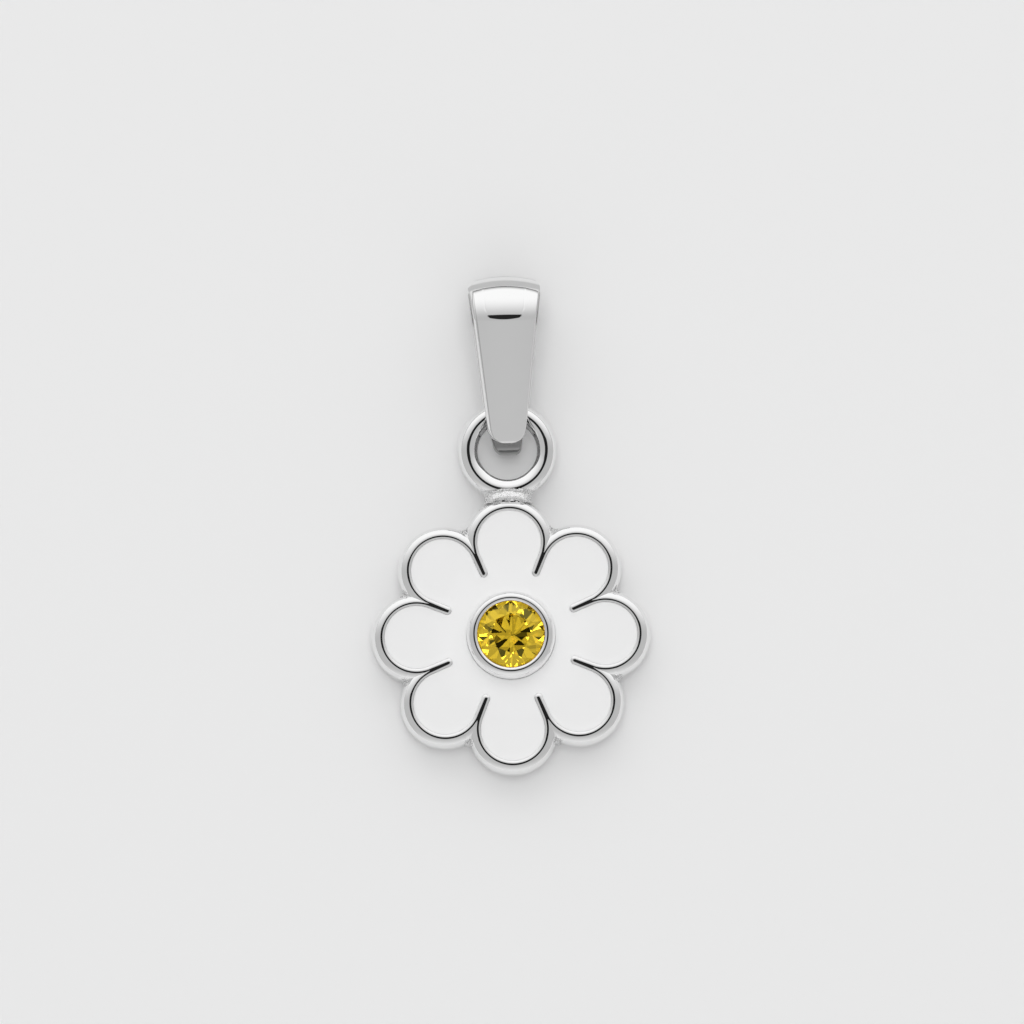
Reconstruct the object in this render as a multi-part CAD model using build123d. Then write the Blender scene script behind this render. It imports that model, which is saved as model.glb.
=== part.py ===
from build123d import *
import math
import os

# A daisy pendant lying on its back: X to the right, Y from the flower towards the bail, Z out of
# the flower's face. The origin is the flower's centre on its flat back. Sizes are in millimetres
# and angles in degrees.

# Flower outline: round lobes on a circle, each ringed by a raised ridge
petals = 8
lobe_centre_r = 4.05        # flower's centre to the centre of each lobe
crest_gap = 0.10            # between the crests of two neighbours, where they come closest
ridge_in = 0.12             # crest to the enamel's edge
wall_out = 0.41             # crest to the outer wall
septum_l = 0.98             # how far a divider reaches in from where two lobes come closest
septum_tip_w = 0.33         # width of a divider's rounded tip
septum_bar_w = 0.60         # width of the bar that the pockets cut down to a divider
septum_root = 0.50          # how far a divider's crest runs out past where two lobes come closest
web_out = 1.26              # webs' edge beyond where two lobes come closest

# Flower heights above its flat back
plate_t = 0.60              # back plate, under the enamel
rim_h = 1.45                # ridge crest
crest_drop = 0.03           # crest down to the ridge's inner edge
round_drop = 0.41           # crest down to where the rounded outside meets the outer wall
web_drop = 0.25             # crest down to the webs in the outer corners between lobes
back_break = 0.12           # chamfer round the back
enamel_drop = 0.06          # crest down to the enamel

# Stone: a round brilliant
stone_d = 3.00
girdle_t = 0.07
table_d = 1.72              # across the table's corners
mains = 8                   # main facets above, and as many below
crown_angle = 34.5          # main facets above the girdle
star_angle = 20.5           # facets along the table's edges
upper_angle = 41.0          # halves above the girdle
pavilion_angle = 40.8       # main facets below the girdle
lower_angle = 42.1          # halves below the girdle

# Bezel round the stone
bezel_base_d = 3.79
bezel_crest_d = 3.18
bezel_lip_d = 2.85          # opening that shows the stone
bezel_h = 2.00              # crest of the bezel above the back
bezel_belly = 0.67          # how far out and up its outer curve is fullest, as a share of each
lip_t = 0.14                # metal between the crown and the bezel's crest
seat_w = 0.28               # ledge under the girdle
cup_floor = 0.25            # metal left under the cup

# Ring cast on the top lobe, and its short neck
ring_mean_r = 1.68
wire_d = 0.82
ring_z = 1.08
neck_l = 0.80               # crest of the top lobe to the middle of the ring's wire
neck_w = 2.15
neck_t = 0.72

# Bail: a tapered strip closed in a loop, seen from its side a teardrop lying on its back leg
bail_t = 0.38
bail_tip_t = 0.52           # solid tip
bail_tip_r = 0.98           # outer radius of the narrow end, seen from the side
bail_top_r = 1.80           # outer radius of the wide end, seen from the side
bail_hang = 1.85            # middle of the ring's wire to the bail's outer tip
bail_l = 7.63
bail_top_w = 3.20
bail_tip_w = 1.44
bail_corner_r = 0.50        # corners seen from above
bail_corner_out = 0.08      # how far the corners' outline stands past the loop's ends
bail_edge_r = 0.10          # rounding of the strip's edges

# Clearances
fit_gap = 0.02              # between pieces that are set in each other

# Worked out from the sizes above
turn = 360 / petals
half_turn = turn / 2
close_r = lobe_centre_r * math.cos(math.radians(half_turn))
half_pitch = lobe_centre_r * math.sin(math.radians(half_turn))
crest_r = half_pitch - crest_gap / 2
pocket_r = crest_r - ridge_in
wall_r = crest_r + wall_out
web_r = close_r + web_out
ring_y = lobe_centre_r + crest_r + neck_l + ring_mean_r
girdle_r = stone_d / 2
lip_r = bezel_lip_d / 2
cup_r = girdle_r + fit_gap
lip_rise = cup_r - lip_r
girdle_top = bezel_h - lip_t - lip_rise - fit_gap
girdle_bottom = girdle_top - girdle_t
table_h = girdle_top + (girdle_r - table_d / 2) * math.tan(math.radians(crown_angle))
culet_h = girdle_bottom - girdle_r * math.tan(math.radians(pavilion_angle))
pocket_depth = bezel_h - plate_t


def around(shape, count, first=0.0):
    """Copies of a shape turned about the flower's axis."""
    return [Rot(0, 0, first + k * 360 / count) * shape for k in range(count)]


def joined(shapes):
    """One solid of many that overlap."""
    return shapes[0].fuse(*shapes[1:])


def plan_point(distance, side, angle):
    """A point at a distance along a ray from the centre, and off to its side."""
    ray = math.radians(angle)
    return (
        distance * math.cos(ray) - side * math.sin(ray),
        distance * math.sin(ray) + side * math.cos(ray),
    )


def pocket_outline(gap):
    """Outline of the enamel field: lobes, and the dividers' sides and tips between them."""
    lobe_r = pocket_r - gap
    tip_r = septum_tip_w / 2 + gap
    tip_centre = close_r - septum_l + septum_tip_w / 2
    reach = math.atan2(half_pitch, close_r - tip_centre)
    spread = math.acos((lobe_r + tip_r) / math.hypot(half_pitch, close_r - tip_centre))
    lean = reach + spread
    tip_along = tip_centre + tip_r * math.cos(lean)
    tip_side = tip_r * math.sin(lean)
    lobe_along = close_r - lobe_r * math.cos(lean)
    lobe_side = half_pitch - lobe_r * math.sin(lean)
    edges = []
    for k in range(petals):
        lobe_angle = 90 + k * turn
        before = lobe_angle - half_turn
        after = lobe_angle + half_turn
        tip_start = plan_point(tip_along, -tip_side, after)
        tip_end = plan_point(tip_along, tip_side, after)
        lobe_start = plan_point(lobe_along, lobe_side, before)
        lobe_top = plan_point(lobe_centre_r + lobe_r, 0, lobe_angle)
        lobe_end = plan_point(lobe_along, -lobe_side, after)
        next_lobe = plan_point(lobe_along, lobe_side, after)
        edges.append(ThreePointArc(lobe_start, lobe_top, lobe_end))
        edges.append(Line(lobe_end, tip_start))
        edges.append(ThreePointArc(tip_start, plan_point(tip_centre - tip_r, 0, after), tip_end))
        edges.append(Line(tip_end, next_lobe))
    return make_face(edges)


def rim_section():
    """Half section of a lobe's wall, from the enamel's edge to the outer wall, on the XZ plane."""
    inner = (pocket_r, rim_h - crest_drop)
    crest = (crest_r, rim_h)
    shoulder = (wall_r, rim_h - round_drop)
    low = (wall_r, back_break)
    base = (wall_r - back_break, 0)
    edges = [
        TangentArc(crest, inner, tangent=(-1, 0)),
        TangentArc(crest, shoulder, tangent=(1, 0)),
        Polyline(shoulder, low, base, (pocket_r, 0), inner),
    ]
    return Plane.XZ * make_face(edges)


def rim():
    """One lobe's raised ridge and outer wall, open towards the flower's centre."""
    sweep = 180 + turn
    ring = revolve(Rot(0, 0, -sweep / 2) * rim_section(), Axis.Z, sweep)
    return Pos(lobe_centre_r, 0, 0) * ring


def lobe_plate():
    """One lobe's share of the back plate, with the chamfer round the back."""
    outline = Polyline(
        (0, 0), (wall_r - back_break, 0), (wall_r, back_break), (wall_r, plate_t), (0, plate_t),
        (0, 0),
    )
    return Pos(lobe_centre_r, 0, 0) * revolve(Plane.XZ * make_face(outline), Axis.Z, 360)


def septum():
    """A divider with a rounded crest and tip. The pockets cut its sides."""
    half = septum_bar_w / 2
    drop = half * half / (2 * wall_out)
    start = close_r - septum_l + septum_tip_w / 2
    end = close_r + septum_root
    low = plate_t / 2
    top = ThreePointArc((-half, rim_h - drop), (0, rim_h), (half, rim_h - drop))
    sides = Polyline((half, rim_h - drop), (half, low), (-half, low), (-half, rim_h - drop))
    bar = extrude(Plane.YZ * make_face([top, sides]), end - start)
    half_top = RadiusArc((0, rim_h), (half, rim_h - drop), (half * half + drop * drop) / (2 * drop))
    half_sides = Polyline((half, rim_h - drop), (half, low), (0, low), (0, rim_h))
    tip = revolve(Plane.XZ * make_face([half_top, half_sides]), Axis.Z, 360)
    return Pos(start, 0, 0) * (bar + tip)


def bezel():
    """The raised wall round the stone, from the back plate to its crest."""
    base_r = bezel_base_d / 2
    crest = bezel_crest_d / 2
    low = plate_t / 2
    foot_h = rim_h - enamel_drop
    bulge = (
        crest + bezel_belly * (base_r - crest),
        foot_h + bezel_belly * (bezel_h - foot_h),
    )
    edges = [
        Polyline((lip_r, bezel_h - lip_t / 2), (0, bezel_h - lip_t / 2), (0, low), (base_r, low),
                 (base_r, foot_h)),
        ThreePointArc((base_r, foot_h), bulge, (crest, bezel_h)),
        Line((crest, bezel_h), (lip_r, bezel_h - lip_t / 2)),
    ]
    return revolve(Plane.XZ * make_face(edges), Axis.Z, 360)


def cup():
    """The room inside the bezel: opening, groove for the girdle, seat and cup."""
    seat_drop = seat_w * math.tan(math.radians(pavilion_angle))
    top = bezel_h + lip_t
    outline = Polyline(
        (0, cup_floor),
        (cup_r - seat_w, cup_floor),
        (cup_r - seat_w, girdle_bottom - fit_gap - seat_drop),
        (cup_r, girdle_bottom - fit_gap),
        (cup_r, girdle_top + fit_gap),
        (lip_r, girdle_top + fit_gap + lip_rise),
        (lip_r, top),
        (0, top),
        (0, cup_floor),
    )
    return revolve(Plane.XZ * make_face(outline), Axis.Z, 360)


def neck():
    """The short bridge of metal between the top lobe and the ring."""
    start = lobe_centre_r + crest_r
    block = Box(neck_w, neck_l, neck_t)
    return Pos(0, start + neck_l / 2, ring_z) * block


def flower_frame():
    """The cast silver body: plate, rims, dividers, webs, bezel, neck and ring, all one piece."""
    web_h = rim_h - web_drop
    web = Pos(0, 0, web_h / 2) * Cylinder(web_r, web_h)
    blank = [web]
    blank += around(lobe_plate(), petals)
    blank += around(rim(), petals)
    blank += around(septum(), petals, half_turn)
    body = joined(blank)
    body += neck()
    pocket = extrude(Pos(0, 0, plate_t) * pocket_outline(0), pocket_depth)
    body -= pocket
    body += bezel()
    body -= cup()
    body += Pos(0, ring_y, ring_z) * Torus(ring_mean_r, wire_d / 2)
    return body


def enamel():
    """The white fill: one field through all the petals and round the bezel."""
    floor = plate_t + fit_gap
    top = rim_h - enamel_drop
    field = pocket_outline(fit_gap) - Circle(bezel_base_d / 2 + fit_gap)
    return extrude(Pos(0, 0, floor) * field, top - floor)


def facet(azimuth, tilt, distance, height, up):
    """The half-space outside one facet, as a plane that a blank is split by."""
    slope = math.radians(tilt)
    ray = math.radians(azimuth)
    rise = math.cos(slope) if up else -math.cos(slope)
    normal = (math.sin(slope) * math.cos(ray), math.sin(slope) * math.sin(ray), rise)
    origin = (distance * math.cos(ray), distance * math.sin(ray), height)
    return Plane(origin=origin, z_dir=normal)


def stone():
    """Round brilliant: table, 8 stars, 8 mains and 16 halves above; 16 halves and 8 mains below."""
    main_turn = 360 / mains
    half_width = math.radians(main_turn / 4)
    chord = girdle_r * math.cos(half_width)
    table_flat = table_d / 2 * math.cos(2 * half_width)
    height = table_h - culet_h
    gem = Pos(0, 0, culet_h + height / 2) * Cylinder(girdle_r, height)
    planes = []
    for k in range(mains):
        azimuth = k * main_turn
        planes.append(facet(azimuth, crown_angle, girdle_r, girdle_top, True))
        planes.append(facet(azimuth + main_turn / 2, star_angle, table_flat, table_h, True))
        planes.append(facet(azimuth, pavilion_angle, girdle_r, girdle_bottom, False))
    for k in range(2 * mains):
        azimuth = (k + 0.5) * main_turn / 2
        planes.append(facet(azimuth, upper_angle, chord, girdle_top, True))
        planes.append(facet(azimuth, lower_angle, chord, girdle_bottom, False))
    for plane in planes:
        gem = split(gem, plane, Keep.BOTTOM)
    return gem


def teardrop(tip, tip_r, top, top_r):
    """A small and a large circle with the straight lines that touch both, on the YZ plane."""
    along_y = top[0] - tip[0]
    along_z = top[1] - tip[1]
    reach = math.hypot(along_y, along_z)
    heading = math.atan2(along_z, along_y)
    spread = math.acos((tip_r - top_r) / reach)

    def on(centre, radius, angle):
        return (centre[0] + radius * math.cos(angle), centre[1] + radius * math.sin(angle))

    tip_ends = [on(tip, tip_r, heading + side * spread) for side in (1, -1)]
    top_ends = [on(top, top_r, heading + side * spread) for side in (1, -1)]
    edges = [
        Line(tip_ends[0], top_ends[0]),
        ThreePointArc(top_ends[0], on(top, top_r, heading), top_ends[1]),
        Line(top_ends[1], tip_ends[1]),
        ThreePointArc(tip_ends[1], on(tip, tip_r, heading + math.pi), tip_ends[0]),
    ]
    return Plane.YZ * make_face(edges)


def bail():
    """The tapered loop, wide at its top and narrow where it hangs on the ring."""
    start = ring_y + ring_mean_r - bail_hang
    end = start + bail_l
    inner_tip_r = bail_tip_r - bail_t
    outer_tip = (start + bail_tip_r, bail_tip_r)
    inner_tip = (start + bail_tip_t + inner_tip_r, bail_tip_r)
    top = (end - bail_top_r, bail_top_r)
    outer = teardrop(outer_tip, bail_tip_r, top, bail_top_r)
    inner = teardrop(inner_tip, inner_tip_r, top, bail_top_r - bail_t)
    loop = extrude(outer - inner, bail_top_w, both=True)
    low = start - bail_corner_out
    high = end + bail_corner_out
    trapezoid = make_face(
        Polyline(
            (-bail_tip_w / 2, low), (bail_tip_w / 2, low), (bail_top_w / 2, high),
            (-bail_top_w / 2, high), (-bail_tip_w / 2, low),
        )
    )
    plan = fillet(trapezoid.vertices(), bail_corner_r)
    strip = loop & extrude(plan, 2 * bail_top_r)
    return fillet(strip.edges(), bail_edge_r)


def main():
    os.makedirs("parts", exist_ok=True)
    pieces = {
        "flower_frame": flower_frame(),
        "enamel": enamel(),
        "stone": stone(),
        "bail": bail(),
    }
    for name, piece in pieces.items():
        export_step(piece, f"parts/{name}.step")


main()
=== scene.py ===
import math
import random

import bmesh
import bpy
from mathutils import Matrix, Vector, noise


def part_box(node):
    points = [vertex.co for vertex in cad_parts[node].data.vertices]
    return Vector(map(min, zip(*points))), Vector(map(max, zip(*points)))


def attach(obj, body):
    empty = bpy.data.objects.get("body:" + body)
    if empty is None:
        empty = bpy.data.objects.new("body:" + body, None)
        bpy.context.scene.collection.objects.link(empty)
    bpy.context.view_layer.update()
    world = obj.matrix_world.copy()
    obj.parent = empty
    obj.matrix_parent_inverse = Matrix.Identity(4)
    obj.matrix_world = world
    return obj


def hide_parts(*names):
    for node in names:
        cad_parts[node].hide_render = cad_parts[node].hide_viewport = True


bl_info = {
    "name": "Daisy pendant",
    "version": (1, 0, 0),
    "blender": (4, 5, 0),
    "location": "3D View > Sidebar > Pendant",
    "description": "Builds a silver and enamel daisy pendant with a yellow stone and a tapered bail",
    "category": "Add Mesh",
}

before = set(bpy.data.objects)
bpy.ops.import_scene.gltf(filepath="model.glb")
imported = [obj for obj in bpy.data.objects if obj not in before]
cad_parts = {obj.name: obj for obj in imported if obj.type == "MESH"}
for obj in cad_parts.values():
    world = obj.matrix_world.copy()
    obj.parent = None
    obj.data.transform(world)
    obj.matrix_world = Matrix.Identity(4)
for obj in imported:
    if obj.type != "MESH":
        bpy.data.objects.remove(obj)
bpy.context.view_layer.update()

MM = 0.001
# The reference picture's width in pixels, and pixels per millimetre in it
PICTURE_W, PIXELS_PER_MM = 1024, 23.3
# Points closer than this are one
SEAM = 0.1 * MM * MM
# Shares of half a petal's turn that face its lobe, the divider's side and the divider's tip
LOBE_SHARE, SIDE_SHARE, TIP_SHARE = 0.56, 0.24, 0.20
# Steps of the enamel's curved edge, as shares of how far in it reaches
MENISCUS = (0.0, 0.02, 0.05, 0.09, 0.14, 0.21, 0.30, 0.42, 0.56, 0.76, 1.0)
# The ridge's outside: shares of the way from the crest to the wall, and the slope there in degrees
WALL_SLOPES = ((0.0, 0), (0.22, 17), (0.60, 30), (0.74, 60), (1.0, 73))
# The same for the flatter inside of the ring's wire beside the neck
WIRE_SLOPES = ((0.0, 0), (0.29, 17), (0.88, 37), (1.0, 80))
# Edges of the dark place overhead, as the sine of the angle from straight up
DARK_SIDE = math.sin(math.radians(17.5))
DARK_FAR = math.sin(math.radians(12))
# What a fade is given: from which value to which, and its share at each
RANGE_ENDS = ("From Min", "From Max", "To Min", "To Max")
# The studio's walls, each laid over those before it: how bright it is, and how its share fades
WALLS = (
    (1.0, (("y", -1.0, -0.35, 0.84, 0.53),)),
    (1.06, (("y", 0.10, 0.80, 0.0, 1.0), ("z", 0.03, 0.22, 0.0, 1.0))),
    (0.42, (("z", 0.02, 0.12, 1.0, 0.0), ("y", -0.7, -0.3, 0.0, 1.0))),
    (0.10, (("z", 0.015, 0.045, 1.0, 0.0), ("y", 0.6, 0.8, 0.0, 1.0))),
    (
        0.018,
        (
            ("spot", 0.94, 1.06, 1.0, 0.0),
            ("y", DARK_FAR - 0.01, DARK_FAR + 0.015, 1.0, 0.0),
            ("z", 0.0, 0.1, 0.0, 1.0),
        ),
    ),
    (0.45, (("z", -0.03, -0.01, 1.0, 0.0),)),
)
# Soft lamps: name, place, side, power and whether they only light the stone from inside
LAMPS = (
    ("far_light", (-0.05, 0.34, 0.36), 0.30, 0.18, False),
    ("top_light", (0.0, 0.02, 0.45), 0.22, 0.45, False),
    ("stone_far_light", (-0.05, 0.34, 0.36), 0.25, 0.68, True),
    ("stone_left_light", (-0.40, -0.08, 0.28), 0.25, 0.54, True),
    ("stone_right_light", (0.38, 0.02, 0.33), 0.25, 0.54, True),
    ("stone_near_light", (0.06, -0.38, 0.30), 0.25, 0.54, True),
    ("stone_top_light", (0.01, -0.03, 0.45), 0.14, 0.05, True),
)


def length(label, words, mm):
    """A length that a user can change, given in millimetres and kept in metres."""
    return bpy.props.FloatProperty(
        name=label, description=words, default=mm * MM, min=0.0, precision=5, unit="LENGTH"
    )


def angle(label, words, degrees):
    """An angle that a user can change, given in degrees."""
    return bpy.props.FloatProperty(
        name=label, description=words, default=math.radians(degrees), min=0.0, subtype="ANGLE"
    )


def colour(label, words, value):
    """A colour that a user can change, given as sRGB hex and kept linear."""
    return bpy.props.FloatVectorProperty(
        name=label, description=words, default=linear(value), min=0.0, max=1.0, size=3, subtype="COLOR"
    )


def linear(value):
    """Linear RGB of an sRGB hex colour."""
    channels = [int(value[k:k + 2], 16) / 255 for k in (1, 3, 5)]
    return [c / 12.92 if c <= 0.04045 else ((c + 0.055) / 1.055) ** 2.4 for c in channels]


class FlowerSizes(bpy.types.PropertyGroup):
    """Sizes of the flower."""

    petals: bpy.props.IntProperty(name="Petals", description="Lobes round the flower", default=8, min=5)
    lobe_centre_r: length("Lobe centre", "Flower's centre to the centre of each lobe", 4.05)
    crest_gap: length("Crest gap", "Between neighbouring crests, where they come closest", 0.10)
    ridge_in: length("Ridge inside", "Crest to the enamel's edge", 0.12)
    wall_out: length("Wall", "Crest to the outer wall, and radius of the rounded outside", 0.41)
    septum_l: length("Divider length", "How far a divider reaches in", 0.98)
    septum_tip_w: length("Divider tip", "Width of a divider's rounded tip", 0.33)
    web_out: length("Web", "Webs' edge beyond where two lobes come closest", 1.26)
    web_drop: length("Web drop", "Crest down to the webs", 0.25)
    plate_t: length("Plate", "Back plate, under the enamel", 0.60)
    rim_h: length("Rim height", "Ridge crest above the back", 1.45)
    crest_drop: length("Crest drop", "Crest down to the ridge's inner edge", 0.03)
    enamel_drop: length("Enamel drop", "Crest down to the enamel", 0.06)
    enamel_sag: length("Enamel sag", "How much lower the enamel lies away from the metal", 0.028)
    back_break: length("Back break", "Chamfer round the back", 0.12)


class StoneSizes(bpy.types.PropertyGroup):
    """Sizes of the stone and its facets."""

    across: length("Across", "Across the girdle", 3.00)
    girdle_t: length("Girdle", "Thickness of the girdle", 0.07)
    table_d: length("Table", "Across the table's corners", 1.72)
    crown_angle: angle("Crown", "Main facets above the girdle", 34.5)
    star_angle: angle("Stars", "Facets along the table's edges", 20.5)
    upper_angle: angle("Upper halves", "Halves above the girdle", 41.0)
    pavilion_angle: angle("Pavilion", "Main facets below the girdle", 40.8)
    lower_angle: angle("Lower halves", "Halves below the girdle", 41.6)
    scatter: angle("Scatter", "How far the cutter strays from the angles below the girdle", 1.0)


class BezelSizes(bpy.types.PropertyGroup):
    """Sizes of the bezel round the stone."""

    base_d: length("Foot", "Across the bezel's foot", 3.79)
    crest_d: length("Crest", "Across the bezel's crest", 3.15)
    lip_d: length("Opening", "Opening that shows the stone", 2.85)
    crest_h: length("Height", "Crest above the back", 2.00)
    shoulder: length("Shoulder", "Height of the bezel's rounded shoulder", 0.40)
    lip_t: length("Lip", "Metal above the crown", 0.14)
    cup_d: length("Cup", "Across the groove for the girdle", 3.04)
    seat_w: length("Seat", "Ledge under the girdle", 0.28)
    girdle_t: length("Girdle", "Groove for the stone's girdle", 0.11)
    cup_floor: length("Cup floor", "Metal left under the cup", 0.25)


class RingSizes(bpy.types.PropertyGroup):
    """Sizes of the cast ring and its neck."""

    mean_r: length("Ring", "Centre of the ring to the middle of its wire", 1.68)
    wire_d: length("Wire", "Thickness of the ring's wire", 0.82)
    height: length("Height", "Middle of the wire above the back", 1.08)
    neck_l: length("Neck length", "Top lobe's crest to the middle of the wire", 0.80)
    neck_w: length("Neck width", "Across the neck where it is narrowest", 2.01)
    neck_t: length("Neck thickness", "Through the neck", 0.60)


class BailSizes(bpy.types.PropertyGroup):
    """Sizes of the bail."""

    strip_t: length("Strip", "Thickness of the strip", 0.38)
    tip_t: length("Tip", "Thickness of the solid tip", 0.52)
    tip_r: length("Tip radius", "Outer radius of the narrow end, from the side", 0.98)
    top_r: length("Top radius", "Outer radius of the wide end, from the side", 1.80)
    hang: length("Hang", "Middle of the ring's wire to the bail's outer tip", 1.85)
    whole_l: length("Length", "Over all", 7.629)
    top_w: length("Top width", "Width at the wide end", 3.20)
    tip_w: length("Tip width", "Width at the narrow end", 1.44)
    corner_r: length("Corners", "Corners seen from above", 0.50)
    nose_corner_r: length("Leg's end", "Corners of the front leg's end, seen from above", 0.66)
    corner_out: length("Corner reach", "How far the corners' outline stands past the ends", 0.08)
    left_edge: length("Left edge", "Width of the ground edge on the left", 0.16)
    right_edge: length("Right edge", "Width of the rounded edge on the right", 0.06)
    inner_edge_r: length("Inner edge", "Rounding of the strip's inner edges", 0.08)
    bend_r: length("Bend", "Outer radius where the front leg bends into the top", 0.62)
    crown_r: length("Crown", "Outer radius of the flattened top", 2.28)
    dome_r: length("Dome", "Radius of the outer face across its width", 4.7)


class PendantColours(bpy.types.PropertyGroup):
    """Colours of the finishes."""

    silver: colour("Silver", "Polished rhodium-plated silver", "#F3F3F3")
    # Dull silver tints both the cast grain's real pits and the painted shade and painted dark
    # reflections on the silver
    dull_shaded_silver: colour("Dull silver", "Silver that the polish hasn't reached", "#6D6D6D")
    enamel: colour("Enamel", "Glossy white enamel", "#F6F6F6")
    # Painted light: the paler enamel round the bezel stands in for light that the bezel's polished wall
    # throws onto it
    enamel_bezel_light: colour("Thick enamel", "Enamel where it is deepest, round the bezel", "#FCFCFC")
    stone: colour("Stone", "Yellow cubic zirconia", "#FFD333")
    floor: colour("Floor", "Pale studio floor", "#F4F4F4")


def node(tree, kind, inputs=None, **settings):
    """Adds a node, sets what is given and links the inputs that are sockets or other nodes."""
    made = tree.nodes.new(kind)
    for name, value in settings.items():
        setattr(made, name, value)
    for name, value in (inputs or {}).items():
        if isinstance(value, bpy.types.Node):
            value = value.outputs[0]
        if isinstance(value, bpy.types.NodeSocket):
            tree.links.new(value, made.inputs[name])
        else:
            made.inputs[name].default_value = value
    return made


def empty_tree(owner):
    """The node tree of a new material or world, cleared."""
    owner.use_nodes = True
    owner.node_tree.nodes.clear()
    return owner.node_tree


def smooth(value, low, high):
    """0 below low, 1 above high and a smooth rise between."""
    share = min(1.0, max(0.0, (value - low) / (high - low)))
    return share * share * (3 - 2 * share)


def band(value, rise, full, fade, end):
    """1 inside a band and 0 outside it, smooth at both edges."""
    return smooth(value, rise, full) * (1 - smooth(value, fade, end))


def rounded_max(first, second, reach):
    """The larger of two heights, rounded where they are nearly the same."""
    overlap = max(0.0, reach - abs(first - second)) / reach
    return max(first, second) + overlap * overlap * reach / 4


def arc_drop(distance, radius):
    """How far a circle has dropped at a distance from its top."""
    return radius - math.sqrt(max(0.0, radius * radius - distance * distance))


def shares(count, start=0.0, end=1.0):
    """Evenly spaced numbers, both ends among them."""
    return [start + (end - start) * k / count for k in range(count + 1)]


def new_piece(name, verts, faces):
    """An object at the origin from lists of points and faces."""
    mesh = bpy.data.meshes.new(name)
    mesh.from_pydata(verts, [], faces)
    piece = bpy.data.objects.new(name, mesh)
    bpy.context.scene.collection.objects.link(piece)
    return piece


def raised(point, height):
    """A point of the plan, at a height."""
    return Vector((point.x, point.y, height))


def joined(first, second):
    """Points and faces of two surfaces as one."""
    verts, faces = first
    more_verts, more_faces = second
    return verts + more_verts, faces + [tuple(len(verts) + k for k in face) for face in more_faces]


def loop_faces(around, across):
    """Faces of a closed loop kept section after section."""
    faces = []
    for a in range(around):
        b = (a + 1) % around
        for c in range(across):
            d = (c + 1) % across
            faces.append((a * across + c, b * across + c, b * across + d, a * across + d))
    return faces


def mark(piece, rough, dull_shade):
    """Stores how rough each point was left as cast, and its painted shade, which also dulls the gloss.
    """
    for name, values in (("as_cast", rough), ("shade_and_dull", dull_shade)):
        piece.data.attributes.new(name, "FLOAT", "POINT").data.foreach_set("value", values)


def finish_mesh(piece, sharp_deg):
    """Closes seams, turns the faces outwards and shades them smooth up to an angle."""
    bm = bmesh.new()
    bm.from_mesh(piece.data)
    bmesh.ops.remove_doubles(bm, verts=bm.verts, dist=SEAM)
    bmesh.ops.dissolve_degenerate(bm, edges=bm.edges, dist=SEAM)
    bmesh.ops.recalc_face_normals(bm, faces=bm.faces)
    bm.to_mesh(piece.data)
    bm.free()
    piece.data.shade_smooth()
    piece.data.set_sharp_from_angle(angle=math.radians(sharp_deg))


def bake(piece):
    """Turns an object's modifiers into a plain mesh."""
    graph = bpy.context.evaluated_depsgraph_get()
    mesh = bpy.data.meshes.new_from_object(piece.evaluated_get(graph))
    piece.modifiers.clear()
    piece.data = mesh


def flatten_top_ridge(piece, rays, sizes):
    """Widens the crest of the lobe under the ring, which the buff reaches less evenly."""
    wider, fading = 0.02 * MM, 0.08 * MM
    ridge_foot, on_crest = sizes.rim_h - 0.2 * MM, 0.001 * MM
    for vert in piece.data.vertices:
        x, y, z = vert.co
        out = Vector((x, y - rays.centre))
        offset = out.length - rays.crest_r
        if z < ridge_foot or abs(offset) < on_crest:
            continue
        share = 1 - smooth(abs(math.atan2(x, y)), 0.55 * rays.half_turn, 0.95 * rays.half_turn)
        share *= smooth(y, rays.centre, rays.centre + 0.5 * rays.crest_r)
        moved = wider * share * math.exp(-abs(offset) / fading)
        out = out.normalized() * math.copysign(moved, offset)
        vert.co.x += out.x
        vert.co.y += out.y


def join_solids(piece, others):
    """One solid of a piece and others that overlap it."""
    for other in others:
        union = piece.modifiers.new("union", "BOOLEAN")
        union.operation = "UNION"
        union.solver = "EXACT"
        union.object = other
    bake(piece)
    for other in others:
        bpy.data.objects.remove(other)


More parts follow.
